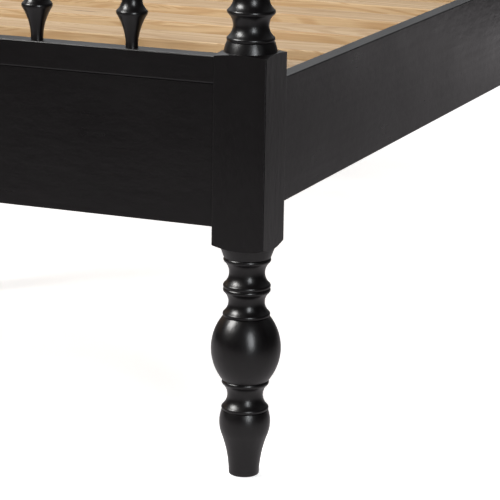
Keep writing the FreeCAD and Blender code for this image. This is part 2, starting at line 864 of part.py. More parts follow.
def ledger(label, side):
    body = new_body(label, ledger_x * side, ZERO, ledger_bottom)
    half = s.ledger_thickness / 2
    section = sketch_on(body, "XZ_Plane")
    rectangle(section, -half, ZERO, half, s.ledger_height)
    pad(body, section, s.clear_length - s.end_gap * 2, symmetric=True)

    hole = sketch_on(body, "XY_Plane", (ZERO, ZERO, s.ledger_height))
    circle(hole, ZERO, slat_first, s.wood_screw_radius + s.fit_gap)
    first = pocket(body, hole, s.wood_screw_length - s.slat_thickness + s.end_gap)
    row_of(body, [first], "Y_Axis", slat_run, s.slat_count)

    bores = (
        (s.wood_screw_radius, s.ledger_thickness),
        (s.wood_screw_head_radius, s.wood_screw_head_height),
    )
    for radius, depth in bores:
        hole = sketch_on(body, "YZ_Plane", (ZERO, ZERO, -half * side))
        circle(hole, ledger_screw_first, s.ledger_screw_height, radius + s.fit_gap)
        first = pocket(body, hole, depth, along_normal=side > 0)
        row_of(body, [first], "Y_Axis", ledger_screw_run, s.ledger_screw_count)


# --- slats ------------------------------------------------------------------------------------------


def slats():
    """The row of slats, each screwed to both ledgers."""
    body = new_body("slats", ZERO, ZERO, ledger_top)
    section = sketch_on(body, "YZ_Plane")
    half = s.slat_width / 2
    low, high = slat_first - half, slat_first + half
    eased_rectangle(section, low, ZERO, high, s.slat_thickness, s.slat_edge, s.slat_edge)
    made = [pad(body, section, (side_rail_inner - s.slat_side_gap) * 2, symmetric=True)]
    bores = (
        (s.wood_screw_radius, s.slat_thickness),
        (s.wood_screw_head_radius, s.wood_screw_head_height),
    )
    for radius, depth in bores:
        holes = sketch_on(body, "XY_Plane", (ZERO, ZERO, s.slat_thickness))
        for side in SIDES.values():
            circle(holes, ledger_x * side, slat_first, radius + s.fit_gap)
        made.append(pocket(body, holes, depth))
    row_of(body, made, "Y_Axis", slat_run, s.slat_count)


# --- centre beam, support legs and levelling feet ---------------------------------------------------


def centre_beam():
    body = new_body("centre_beam", ZERO, ZERO, beam_bottom)
    section = sketch_on(body, "XZ_Plane")
    half = s.beam_width / 2
    rectangle(section, -half, ZERO, half, s.beam_height)
    reach = board_inner_face - s.hanger_steel - s.end_gap
    pad(body, section, reach * 2, symmetric=True)
    hole = sketch_on(body, "XY_Plane")
    circle(hole, ZERO, support_y, bolt_hole_radius)
    mirrored(body, [pocket(body, hole, bolt_hole_depth, along_normal=True)], "XZ_Plane")


def support_leg(label, end):
    body = new_body(label, ZERO, support_y * end, s.support_floor_gap)
    height = beam_bottom - s.support_floor_gap
    half = s.support_width / 2
    section = sketch_on(body, "XY_Plane")
    eased_rectangle(section, -half, -half, half, half, s.support_edge, s.support_edge)
    pad(body, section, height)

    bores = (
        (s.leveller_stem_radius + s.leveller_bore_gap, s.leveller_bore_depth),
        (s.insert_barrel_radius + s.fit_gap, s.insert_barrel_length + s.end_gap),
    )
    for radius, depth in bores:
        hole = sketch_on(body, "XY_Plane")
        circle(hole, ZERO, ZERO, radius)
        pocket(body, hole, depth, along_normal=True)
    hole = sketch_on(body, "XY_Plane", (ZERO, ZERO, height))
    circle(hole, ZERO, ZERO, bolt_hole_radius)
    pocket(body, hole, bolt_hole_depth)


def leveller(label, end):
    """A levelling foot: round pad, hexagon and threaded stem in one piece."""
    turning = Turning(ZERO, ZERO)
    round_off = s.leveller_pad_round
    turning.go(s.leveller_pad_radius - round_off)
    turning.go(s.leveller_pad_radius, round_off, round_off * QUARTER_RISE)
    turning.go(s.leveller_pad_radius, s.leveller_pad_height - round_off * 2)
    turning.go(s.leveller_pad_radius - round_off, round_off, round_off * QUARTER_RISE)
    turning.go(s.leveller_stem_radius)
    turning.go(s.leveller_stem_radius, s.leveller_hex_height + s.leveller_stem_length)
    turning.go(ZERO)
    body = revolved(label, turning.corners, ZERO, support_y * end)
    hexagon = sketch_on(body, "XY_Plane", (ZERO, ZERO, s.leveller_pad_height))
    corner_radius = s.leveller_hex_width * HEX_CORNER_RATIO
    angles = [math.radians(30 + 60 * step) for step in range(6)]
    outline(hexagon, [(corner_radius * math.cos(turn), corner_radius * math.sin(turn)) for turn in angles])
    pad(body, hexagon, s.leveller_hex_height)


def leveller_inserts():
    """A flanged threaded insert in the bottom of each support leg."""
    body = new_body("leveller_inserts")
    bore = s.leveller_stem_radius + s.thread_gap
    turning = Turning(bore, ZERO)
    turning.go(s.insert_flange_radius)
    turning.go(s.insert_flange_radius, s.insert_flange_thickness)
    turning.go(s.insert_barrel_radius)
    turning.go(s.insert_barrel_radius, s.insert_barrel_length)
    turning.go(bore)
    section = sketch_on(body, "XZ_Plane", (ZERO, insert_bottom, -support_y))
    outline(section, turning.corners)
    mirrored(body, [revolve(body, section)], "XZ_Plane")


def beam_hangers():
    """A steel hanger at each end of the beam: a plate across cross rail and panel, with a saddle."""
    body = new_body("beam_hangers")
    plate_bottom = frame_bottom + s.hanger_plate_margin
    plate_top = rail_top - s.hanger_plate_margin
    half = s.hanger_plate_width / 2
    plate = sketch_on(body, "XZ_Plane", (ZERO, ZERO, -board_inner_face))
    rectangle(plate, -half, plate_bottom, half, plate_top)
    made = [pad(body, plate, s.hanger_steel)]

    inner = s.beam_width / 2 + s.end_gap
    outer = inner + s.hanger_steel
    cheek_top = beam_bottom + s.hanger_cheek_height
    saddle = sketch_on(body, "XZ_Plane", (ZERO, ZERO, s.hanger_steel - board_inner_face))
    corners = [
        (-outer, beam_bottom - s.hanger_steel),
        (outer, beam_bottom - s.hanger_steel),
        (outer, cheek_top),
        (inner, cheek_top),
        (inner, beam_bottom),
        (-inner, beam_bottom),
        (-inner, cheek_top),
        (-outer, cheek_top),
    ]
    outline(saddle, corners)
    made.append(pad(body, saddle, s.hanger_saddle_length))

    holes = sketch_on(body, "XZ_Plane", (ZERO, ZERO, -board_inner_face))
    for x in hanger_screw_xs:
        for level in hanger_screw_levels:
            circle(holes, x, level, s.bracket_screw_radius + s.fit_gap)
    made.append(pocket(body, holes, s.hanger_steel, along_normal=True))
    repeated(body, made, mirrors=["XZ_Plane"])


# --- corner brackets, bolts and sleeves -------------------------------------------------------------


def rail_brackets():
    """Steel angles that join each side rail to its posts."""
    body = new_body("rail_brackets")
    inner_x = side_rail_inner - s.bracket_steel
    post_face = s.clear_length / 2
    leaf_end = post_face - s.bracket_reach
    section = sketch_on(body, "XY_Plane", (ZERO, ZERO, bracket_bottom))
    corners = [
        (bracket_outer_x, bracket_face_y),
        (inner_x, bracket_face_y),
        (inner_x, leaf_end),
        (side_rail_inner, leaf_end),
        (side_rail_inner, post_face),
        (bracket_outer_x, post_face),
    ]
    outline(section, corners)
    made = [pad(body, section, s.bracket_height)]

    holes = sketch_on(body, "XZ_Plane", (ZERO, ZERO, -bracket_face_y))
    for level in bracket_bolt_levels:
        circle(holes, bracket_bolt_x, level, s.bolt_radius + s.fit_gap)
    made.append(pocket(body, holes, s.bracket_steel))

    holes = sketch_on(body, "YZ_Plane", (ZERO, ZERO, inner_x))
    for row in range(2):
        for column in range(2):
            y = bracket_screw_last + s.bracket_screw_spacing * row
            z = bracket_screw_low + s.bracket_screw_spacing * column
            circle(holes, y, z, s.bracket_screw_radius + s.fit_gap)
    made.append(pocket(body, holes, s.bracket_steel, along_normal=True))
    repeated(body, made, mirrors=["YZ_Plane", "XZ_Plane"])


def bracket_bolts():
    """Socket-head bolts through the brackets into the posts' sleeves."""
    body = new_body("bracket_bolts")
    shift = (bracket_face_y - s.bolt_head_height, bracket_bolt_levels[0], bracket_bolt_x)
    section = sketch_on(body, "YZ_Plane", shift)
    tip = s.bolt_head_height + s.bolt_length
    corners = [
        (s.bolt_socket_depth, ZERO),
        (tip, ZERO),
        (tip, s.bolt_radius),
        (s.bolt_head_height, s.bolt_radius),
        (s.bolt_head_height, s.bolt_head_radius),
        (ZERO, s.bolt_head_radius),
        (ZERO, s.bolt_socket_radius),
        (s.bolt_socket_depth, s.bolt_socket_radius),
    ]
    outline(section, corners)
    rows = [("Z_Axis", s.bracket_bolt_spacing, 2)]
    repeated(body, [revolve(body, section, "H_Axis")], rows, ["YZ_Plane", "XZ_Plane"])


def post_sleeves():
    """Threaded sleeves in the posts, one for each bracket bolt."""
    body = new_body("post_sleeves")
    section = sketch_on(body, "XZ_Plane", (ZERO, ZERO, -s.clear_length / 2))
    for radius in (s.sleeve_radius, s.bolt_radius + s.fit_gap):
        circle(section, bracket_bolt_x, bracket_bolt_levels[0], radius)
    tube = feature(body, "Pad", Profile=section, Length=s.sleeve_length, Reversed=True)
    rows = [("Z_Axis", s.bracket_bolt_spacing, 2)]
    repeated(body, [tube], rows, ["YZ_Plane", "XZ_Plane"])


# --- screws -----------------------------------------------------------------------------------------


def screw_corners(radius, length, head_radius, head_height):
    """A countersunk screw lying along x, its head's face at the origin."""
    return [
        (ZERO, ZERO),
        (length, ZERO),
        (length - radius * 2, radius),
        (head_height, radius),
        (ZERO, head_radius),
    ]


def wood_screws():
    """Countersunk screws: each slat to both ledgers, each ledger to its side rail."""
    body = new_body("wood_screws")
    corners = screw_corners(
        s.wood_screw_radius, s.wood_screw_length, s.wood_screw_head_radius, s.wood_screw_head_height
    )
    upright = sketch_on(body, "XZ_Plane", (ledger_x, slat_top, -slat_first))
    outline(upright, [(y, -x) if x is not ZERO else (y, ZERO) for x, y in corners])
    slat_screw = revolve(body, upright)
    repeated(body, [slat_screw], [("Y_Axis", slat_run, s.slat_count)], ["YZ_Plane"])

    lying = sketch_on(body, "XZ_Plane", (ledger_inner, ledger_screw_level, -ledger_screw_first))
    outline(lying, corners)
    ledger_screw = revolve(body, lying, "H_Axis")
    rows = [("Y_Axis", ledger_screw_run, s.ledger_screw_count)]
    repeated(body, [ledger_screw], rows, ["YZ_Plane"])


def pan_screw_corners():
    """A pan-head screw lying along x, the underside of its head at the origin."""
    return [
        (-s.bracket_screw_head_height, ZERO),
        (s.bracket_screw_length, ZERO),
        (s.bracket_screw_length - s.bracket_screw_radius * 2, s.bracket_screw_radius),
        (ZERO, s.bracket_screw_radius),
        (ZERO, s.bracket_screw_head_radius),
        (-s.bracket_screw_head_height, s.bracket_screw_head_radius),
    ]


def bracket_screws():
    """Pan-head screws: the corner brackets to the side rails, the beam hangers to the end boards."""
    body = new_body("bracket_screws")
    inner_x = side_rail_inner - s.bracket_steel
    sketch = sketch_on(body, "XZ_Plane", (inner_x, bracket_screw_low, -bracket_screw_last))
    outline(sketch, pan_screw_corners())
    rows = [("Y_Axis", s.bracket_screw_spacing, 2), ("Z_Axis", s.bracket_screw_spacing, 2)]
    repeated(body, [revolve(body, sketch, "H_Axis")], rows, ["YZ_Plane", "XZ_Plane"])

    hanger_face = board_inner_face - s.hanger_steel
    sketch = sketch_on(body, "YZ_Plane", (hanger_face, hanger_screw_levels[0], hanger_screw_xs[0]))
    outline(sketch, pan_screw_corners())
    rows = [
        ("X_Axis", s.hanger_screw_spacing, 2),
        ("Z_Axis", hanger_screw_levels[1] - hanger_screw_levels[0], 2),
    ]
    repeated(body, [revolve(body, sketch, "H_Axis")], rows, ["XZ_Plane"])


# --- hanger bolts, dowels and glides ----------------------------------------------------------------


def hanger_bolts():
    """Double-ended bolts that hold the legs to the posts, and the support legs to the beam."""
    body = new_body("hanger_bolts")
    places = (
        (leg_top, post_x, post_y, ["YZ_Plane", "XZ_Plane"]),
        (beam_bottom, ZERO, support_y, ["XZ_Plane"]),
    )
    for joint_level, x, y, mirrors in places:
        section = sketch_on(body, "XY_Plane", (ZERO, ZERO, joint_level - s.hanger_bolt_length / 2))
        circle(section, x, y, s.hanger_bolt_radius)
        repeated(body, [pad(body, section, s.hanger_bolt_length)], mirrors=mirrors)


def board_dowels():
    """The dowels between the posts and each end's cross rail, panel and top rail."""
    body = new_body("board_dowels")
    start = s.clear_width / 2 - s.dowel_length / 2
    for name, end in ENDS.items():
        section = sketch_on(body, "YZ_Plane", (ZERO, ZERO, start))
        for offset, level in board_dowel_places(name):
            circle(section, (board_y + offset) * end, level, s.dowel_radius)
        repeated(body, [pad(body, section, s.dowel_length)], mirrors=["YZ_Plane"])


def leg_glides():
    body = new_body("leg_glides")
    section = sketch_on(body, "XY_Plane")
    circle(section, post_x, post_y, s.glide_radius)
    repeated(body, [pad(body, section, s.glide_thickness)], mirrors=["YZ_Plane", "XZ_Plane"])


# --- the whole bed ----------------------------------------------------------------------------------

for name, end in ENDS.items():
    for side_name, side in SIDES.items():
        post(f"{name}_post_{side_name}", side, end, name)
        leg(f"{name}_leg_{side_name}", side, end)
        finial(f"{name}_finial_{side_name}", side, end, name)
    end_board(name, end)
    spindles(name, end)
    support_leg(f"{name}_support_leg", end)
    leveller(f"{name}_leveller", end)
for side_name, side in SIDES.items():
    side_rail(f"side_rail_{side_name}", side)
    ledger(f"slat_ledger_{side_name}", side)
slats()
centre_beam()
leveller_inserts()
beam_hangers()
rail_brackets()
bracket_bolts()
post_sleeves()
wood_screws()
bracket_screws()
hanger_bolts()
board_dowels()
leg_glides()
doc.recompute()


# --- checks and export ------------------------------------------------------------------------------

for item in doc.Objects:
    if "Invalid" in item.State or "Error" in item.State:
        raise RuntimeError(f"{item.Label}: {item.State}")
    if item.TypeId == "PartDesign::Pocket" and item.Shape.Volume >= item.BaseFeature.Shape.Volume:
        raise RuntimeError(f"{item.Label} cuts nothing")

os.makedirs("parts", exist_ok=True)
for label, body in parts.items():
    if body.Shape.isNull() or not body.Shape.isValid() or not body.Shape.Solids:
        raise RuntimeError(f"{label} has no valid solid")
    body.Shape.exportStep(f"parts/{label}.step")
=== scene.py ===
import json
import math

import bpy
from mathutils import Matrix, Vector

# Looks of the spindle bed: its materials, floor, world, lamps and camera. The shapes are the CAD nodes.
# Lengths are in metres in the CAD's frame: +Z up, the foot end towards -Y. Colours are linear.

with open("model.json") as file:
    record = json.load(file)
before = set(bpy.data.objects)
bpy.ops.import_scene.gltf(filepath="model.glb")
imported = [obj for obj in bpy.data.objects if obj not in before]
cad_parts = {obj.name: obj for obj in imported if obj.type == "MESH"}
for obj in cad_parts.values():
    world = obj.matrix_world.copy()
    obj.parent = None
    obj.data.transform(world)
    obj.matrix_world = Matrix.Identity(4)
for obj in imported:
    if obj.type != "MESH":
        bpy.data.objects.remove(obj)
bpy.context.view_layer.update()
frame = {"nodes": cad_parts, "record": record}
nodes = frame["nodes"]

# The floor point under the outer front edge of the foot end's right post. Lamps and camera start from it.
FOOT_CORNER = Vector((0.728, -1.030, 0.0))


# --- node trees -------------------------------------------------------------------------------------

# The bevel node's samples, and the cosine between the true and the rounded normal where an edge starts and
# where it counts in full.
BEVEL_SAMPLES = 4
EDGE_FACING = (0.98, 0.75)


class Nodes:
    """A node tree with one output, and short calls for the nodes used here."""

    def __init__(self, tree, output):
        self.tree = tree
        self.tree.nodes.clear()
        self.output = self.node(output)

    def node(self, kind, inputs=None, **settings):
        made = self.tree.nodes.new(kind)
        for name, setting in settings.items():
            setattr(made, name, setting)
        for socket, source in (inputs or {}).items():
            self.feed(made.inputs[socket], source)
        return made

    def feed(self, socket, source):
        """Links a node's output to the socket, or sets the socket to a plain value."""
        if isinstance(source, bpy.types.NodeSocket):
            self.tree.links.new(source, socket)
        else:
            socket.default_value = source

    def surface(self, shader):
        self.feed(self.output.inputs["Surface"], shader)

    def math(self, operation, *values):
        return self.node("ShaderNodeMath", dict(enumerate(values)), operation=operation).outputs[0]

    def vector(self, operation, first, second):
        return self.node("ShaderNodeVectorMath", {0: first, 1: second}, operation=operation)

    def even_vector(self, value):
        """A vector with the same value on all three axes."""
        return self.node("ShaderNodeCombineXYZ", dict.fromkeys("XYZ", value)).outputs[0]

    def remap(self, value, span, result=(0.0, 1.0), **settings):
        """Maps the two ends of a span to the two ends of a result, and holds what lies beyond them."""
        inputs = {
            "Value": value,
            "From Min": span[0],
            "From Max": span[1],
            "To Min": result[0],
            "To Max": result[1],
        }
        return self.node("ShaderNodeMapRange", inputs, clamp=True, **settings).outputs["Result"]

    def mix(self, factor, first, second):
        """The first shader where the factor is 0, and the second where it is 1."""
        return self.node("ShaderNodeMixShader", {0: factor, 1: first, 2: second}).outputs[0]


class Material(Nodes):
    """A material's node tree. Its patterns lie in object coordinates, which are metres in this frame."""

    def __init__(self, name):
        self.material = bpy.data.materials.new(name)
        self.material.use_nodes = True
        super().__init__(self.material.node_tree, "ShaderNodeOutputMaterial")

    def coordinates(self):
        return self.node("ShaderNodeTexCoord").outputs["Object"]

    def place(self, scale=(1.0, 1.0, 1.0), offset=(0.0, 0.0, 0.0), start=None):
        """Coordinates scaled and moved: the object's own, unless others are given as the start."""
        vector = self.coordinates() if start is None else start
        inputs = {"Vector": vector, "Scale": scale, "Location": offset}
        return self.node("ShaderNodeMapping", inputs).outputs["Vector"]

    def noise(self, vector, scale=1.0, detail=3.0, roughness=0.5, distortion=0.0):
        inputs = {
            "Vector": vector,
            "Scale": scale,
            "Detail": detail,
            "Roughness": roughness,
            "Distortion": distortion,
        }
        return self.node("ShaderNodeTexNoise", inputs).outputs["Fac"]

    def cells(self, vector, scale=1.0):
        """How far a point is from the nearest of the points scattered one to a cell."""
        inputs = {"Vector": vector, "Scale": scale}
        return self.node("ShaderNodeTexVoronoi", inputs, feature="F1").outputs["Distance"]

    def blend(self, factor, first, second):
        """The first colour where the factor is 0, and the second where it is 1."""
        made = self.node("ShaderNodeMix", data_type="RGBA")
        colours = [socket for socket in made.inputs if socket.type == "RGBA"]
        self.feed(made.inputs[0], factor)
        self.feed(colours[0], first)
        self.feed(colours[1], second)
        return next(socket for socket in made.outputs if socket.type == "RGBA")

    def bump(self, height, distance, strength, below=None):
        """The normal of a surface raised by height times distance, on top of the normal below."""
        inputs = {"Height": height, "Distance": distance, "Strength": strength}
        if below is not None:
            inputs["Normal"] = below
        return self.node("ShaderNodeBump", inputs).outputs["Normal"]

    def edge(self, radius):
        """How far the surface turns within a radius: 0 on flats, and up to 1 on sharp edges."""
        rounded = self.node("ShaderNodeBevel", {"Radius": radius}, samples=BEVEL_SAMPLES).outputs["Normal"]
        sharp = self.node("ShaderNodeNewGeometry").outputs["Normal"]
        facing = self.vector("DOT_PRODUCT", rounded, sharp).outputs["Value"]
        return self.remap(facing, EDGE_FACING)

    def principled(self, inputs):
        """Gives the material its one shader, and returns the material."""
        self.surface(self.node("ShaderNodeBsdfPrincipled", inputs).outputs["BSDF"])
        return self.material


def stretched(axis, along, across):
    """Scale factors that draw a pattern out along one axis."""
    return tuple(along if letter == axis else across for letter in "xyz")


def rgb(red, green, blue):
    return (red, green, blue, 1.0)


def toned(colour, factor, added=0.0):
    """A colour made darker by a factor, and paler by what is added."""
    return rgb(*(factor * value + added for value in colour[:3]))


# --- colours ----------------------------------------------------------------------------------------

WHITE = rgb(1.0, 1.0, 1.0)
BLACK = rgb(0.0, 0.0, 0.0)

PAINT = rgb(0.0026, 0.0019, 0.0021)
PAINT_PALE = rgb(0.0038, 0.0029, 0.0031)
PAINT_DEEP = rgb(0.0016, 0.0012, 0.0013)
# The arrises' colour: worn, thinner paint together with a painted edge highlight.
PAINT_WORN_EDGE_SHEEN = rgb(0.009, 0.0078, 0.0078)

PINE_PALE = rgb(0.66, 0.47, 0.27)
PINE_DARK = rgb(0.47, 0.28, 0.125)
BEECH_PALE = rgb(0.62, 0.42, 0.26)
BEECH_DARK = rgb(0.50, 0.31, 0.17)
KNOT = rgb(0.14, 0.060, 0.024)

ZINC_PALE = rgb(0.60, 0.61, 0.63)
ZINC_DULL = rgb(0.46, 0.48, 0.52)
ZINC_RUBBED = rgb(0.72, 0.72, 0.73)

COAT_DARK = rgb(0.014, 0.014, 0.015)
COAT_PALE = rgb(0.022, 0.022, 0.023)
COAT_THIN = rgb(0.06, 0.06, 0.062)

NYLON_PALE = rgb(0.62, 0.61, 0.57)
NYLON_DARK = rgb(0.55, 0.54, 0.50)
PLASTIC_DARK = rgb(0.016, 0.016, 0.017)
PLASTIC_PALE = rgb(0.024, 0.024, 0.025)

FLOOR_LIT = rgb(0.8, 0.8, 0.8)
# The colour of the floor's glow for glossy rays: a painted reflection.
FLOOR_REFLECTION_GLOW = rgb(1.0, 0.95, 0.97)
ROOM = rgb(0.97, 0.98, 1.0)


# --- materials of the bed ---------------------------------------------------------------------------


def black_paint(name, grain):
    """Satin black paint over planed or turned wood: a sprayed skin through which the wood still shows."""
    look = Material(name)
    fibres = look.noise(
        look.place(stretched(grain, along=4.0, across=150.0)), detail=5.0, roughness=0.6, distortion=0.3
    )
    rows = look.noise(
        look.place(stretched(grain, along=1.2, across=26.0), offset=(3.1, 1.7, 0.4)),
        roughness=0.55,
        distortion=0.5,
    )
    waves = look.noise(
        look.place(stretched(grain, along=55.0, across=110.0), offset=(0.7, 0.2, 0.5)), detail=2.0
    )
    skin = look.noise(look.place(), scale=620.0, detail=2.0, roughness=0.45)
    clouds = look.noise(look.place(offset=(0.3, 0.9, 0.2)), scale=9.0, detail=4.0, roughness=0.6)

    dust = look.remap(look.cells(look.place(), scale=95.0), (0.0, 0.055), (1.0, 0.0))
    dusty_spots = look.remap(look.noise(look.place(), scale=14.0, detail=0.0), (0.68, 0.72))
    dust = look.math("MULTIPLY", dust, dusty_spots)

    normal = look.bump(waves, distance=0.0005, strength=0.5)
    normal = look.bump(rows, distance=0.0004, strength=0.35, below=normal)
    normal = look.bump(fibres, distance=0.00012, strength=0.45, below=normal)
    normal = look.bump(skin, distance=0.00003, strength=0.5, below=normal)
    normal = look.bump(dust, distance=0.0002, strength=0.4, below=normal)

    tone = look.blend(look.remap(clouds, (0.3, 0.75)), PAINT, PAINT_PALE)
    tone = look.blend(look.remap(fibres, (0.35, 0.8), (0.0, 0.5)), tone, PAINT_DEEP)
    # Paler arrises: partly worn and thinner paint, partly a painted highlight along the edges.
    edge_wear_and_sheen = look.math("MULTIPLY", look.edge(radius=0.0012), look.remap(clouds, (0.35, 0.7), (0.25, 1.0)))
    tone = look.blend(edge_wear_and_sheen, tone, PAINT_WORN_EDGE_SHEEN)

    rough = look.remap(clouds, (0.25, 0.8), (0.27, 0.34))
    rough = look.math("ADD", rough, look.remap(fibres, (0.3, 0.8), (-0.015, 0.03)))
    return look.principled({"Base Color": tone, "Roughness": rough, "Normal": normal, "IOR": 1.5})


PIECE_SHIFT = 37.0  # the most by which a loose piece of a node is moved within the wood's pattern


def bare_wood(name, grain, pale, dark):
    """Planed wood: growth rings drawn out along the grain, fine fibres, a few knots, each piece its own."""
    look = Material(name)
    piece = look.node("ShaderNodeNewGeometry").outputs["Random Per Island"]
    shift = look.even_vector(look.math("MULTIPLY", piece, PIECE_SHIFT))
    board = look.vector("ADD", look.coordinates(), shift).outputs["Vector"]

    def drawn(along, across):
        return look.place(stretched(grain, along, across), start=board)

    from_knot = look.cells(drawn(along=3.2, across=16.0))
    near_knot = look.remap(from_knot, (0.0, 0.34), (1.0, 0.0))
    knot = look.remap(from_knot, (0.05, 0.10), (1.0, 0.0))

    bend = look.noise(drawn(along=1.6, across=9.0), detail=2.0)
    bend = look.math("ADD", bend, look.math("MULTIPLY", near_knot, 0.5))
    bend = look.even_vector(look.math("MULTIPLY", bend, 2.6))
    rings = look.node(
        "ShaderNodeTexWave",
        {
            "Vector": look.vector("ADD", drawn(along=1.0, across=26.0), bend).outputs["Vector"],
            "Scale": 1.15,
            "Distortion": 1.8,
            "Detail": 2.0,
        },
        wave_type="BANDS",
        bands_direction="DIAGONAL",
    ).outputs["Fac"]
    late_wood = look.remap(rings, (0.45, 0.95))
    fibres = look.noise(drawn(along=10.0, across=620.0), roughness=0.6)

    tone = look.blend(look.math("MULTIPLY", late_wood, 0.75), pale, dark)
    tone = look.blend(look.remap(piece, (0.0, 1.0), (0.0, 0.5)), tone, dark)
    tone = look.blend(look.remap(fibres, (0.35, 0.75), (0.0, 0.35)), tone, toned(dark, 0.7))
    tone = look.blend(look.math("MULTIPLY", knot, 0.85), tone, KNOT)

    normal = look.bump(rings, distance=0.0003, strength=0.25)
    normal = look.bump(fibres, distance=0.00012, strength=0.5, below=normal)
    rough = look.remap(fibres, (0.2, 0.8), (0.48, 0.66))
    return look.principled({"Base Color": tone, "Roughness": rough, "Normal": normal, "IOR": 1.45})


def zinc_steel(name):
    """Bright zinc plating: fine rolled streaks, faint clouding and rubbed edges."""
    look = Material(name)
    streaks = look.noise(look.place(stretched("z", along=120.0, across=900.0)), roughness=0.6)
    clouds = look.noise(look.place(), scale=60.0, detail=4.0, roughness=0.6)
    tone = look.blend(clouds, ZINC_PALE, ZINC_DULL)
    tone = look.blend(look.edge(radius=0.0006), tone, ZINC_RUBBED)
    rough = look.remap(streaks, (0.2, 0.8), (0.24, 0.42))
    normal = look.bump(streaks, distance=0.00003, strength=0.5)
    return look.principled({"Base Color": tone, "Metallic": 1.0, "Roughness": rough, "Normal": normal})


def black_steel(name):
    """Black powder coat: a pebbled skin, thinner and brighter on the sheet's edges."""
    look = Material(name)
    pebbles = look.noise(look.place(), scale=1500.0, detail=2.0)
    clouds = look.noise(look.place(), scale=40.0, roughness=0.6)
    tone = look.blend(clouds, COAT_DARK, COAT_PALE)
    thin = look.math("MULTIPLY", look.edge(radius=0.0008), 0.6)
    tone = look.blend(thin, tone, COAT_THIN)
    rough = look.remap(clouds, (0.2, 0.8), (0.42, 0.56))
    normal = look.bump(pebbles, distance=0.00006, strength=0.6)
    return look.principled({"Base Color": tone, "Roughness": rough, "Normal": normal})


def moulded_plastic(name, first, second, rough):
    """Moulded plastic: a spark-eroded texture, scuffed and dusty within a few millimetres of the floor."""
    look = Material(name)
    pits = look.noise(look.place(), scale=2200.0, detail=2.0)
    clouds = look.noise(look.place(), scale=70.0, detail=4.0, roughness=0.6)
    height = look.node("ShaderNodeSeparateXYZ", {"Vector": look.place()}).outputs["Z"]
    at_floor = look.remap(height, (0.0, 0.004), (1.0, 0.0))
    scuffed = look.math("MULTIPLY", at_floor, look.remap(clouds, (0.4, 0.65), (0.0, 0.7)))
    tone = look.blend(clouds, first, second)
    tone = look.blend(scuffed, tone, toned(second, 0.6, added=0.06))
    rough = look.remap(pits, (0.2, 0.8), (rough - 0.06, rough + 0.08))
    normal = look.bump(pits, distance=0.00004, strength=0.6)
    return look.principled({"Base Color": tone, "Roughness": rough, "Normal": normal})


paints = {axis: black_paint(f"black_paint_{axis}", axis) for axis in "xyz"}
pines = {axis: bare_wood(f"bare_pine_{axis}", axis, PINE_PALE, PINE_DARK) for axis in "xy"}
looks = {
    "zinc_steel": zinc_steel("zinc_steel_look"),
    "black_steel": black_steel("black_steel_look"),
    "nylon": moulded_plastic("nylon_look", NYLON_PALE, NYLON_DARK, rough=0.5),
    "black_plastic": moulded_plastic("black_plastic_look", PLASTIC_DARK, PLASTIC_PALE, rough=0.46),
    "dowel_wood": bare_wood("beech_look", "x", BEECH_PALE, BEECH_DARK),
}

LENGTHWISE = ("side_rail", "ledger", "beam")
UPRIGHT = ("post", "leg", "finial", "spindle")


def grain_axis(name):
    """The axis along which a wooden piece's grain runs. All that isn't named above lies across the bed."""
    if any(word in name for word in LENGTHWISE):
        return "y"
    if any(word in name for word in UPRIGHT):
        return "z"
    return "x"


def look_of(name, slot):
    """A node's material: its slot's own, and for the two woods the one with the right grain."""
    if slot == "painted_wood":
        return paints[grain_axis(name)]
    if slot == "bare_pine":
        return pines[grain_axis(name)]
    return looks[slot]


slots = {entry["node"]: entry["material_slot"] for entry in frame["record"]["subparts"]}
for name, item in nodes.items():
    for place in item.material_slots:
        place.material = look_of(name, slots[name])


# --- floor ------------------------------------------------------------------------------------------

FLOOR_HALF = 30.0

# What the paint's reflections see of the floor, a painted reflection that glows: a level, times factors.
# Each pair is a span in metres and
# the values at its two ends.
BY_DISTANCE = (((0.0, 0.5), (0.12, 0.0)), ((1.25, 1.75), (0.25, 0.05)))  # from the bed's outline, added up
ALONG_BED = (  # by Y
    ((-1.1, -0.4), (1.45, 1.0)),
    ((1.2, 1.75), (1.0, 1.22)),
    ((1.85, 2.1), (1.0, 4.0)),
    ((2.6, 3.6), (1.0, 0.35)),
)
BESIDE_BED = ((0.48, 0.75), (1.18, 0.56))  # from the bed's side

# Light that the floor sends to the camera on top of the lit white. Far off it is full, so no horizon shows.
CAMERA_GLOW = ((1.2, 4.0), (0.76, 1.0))


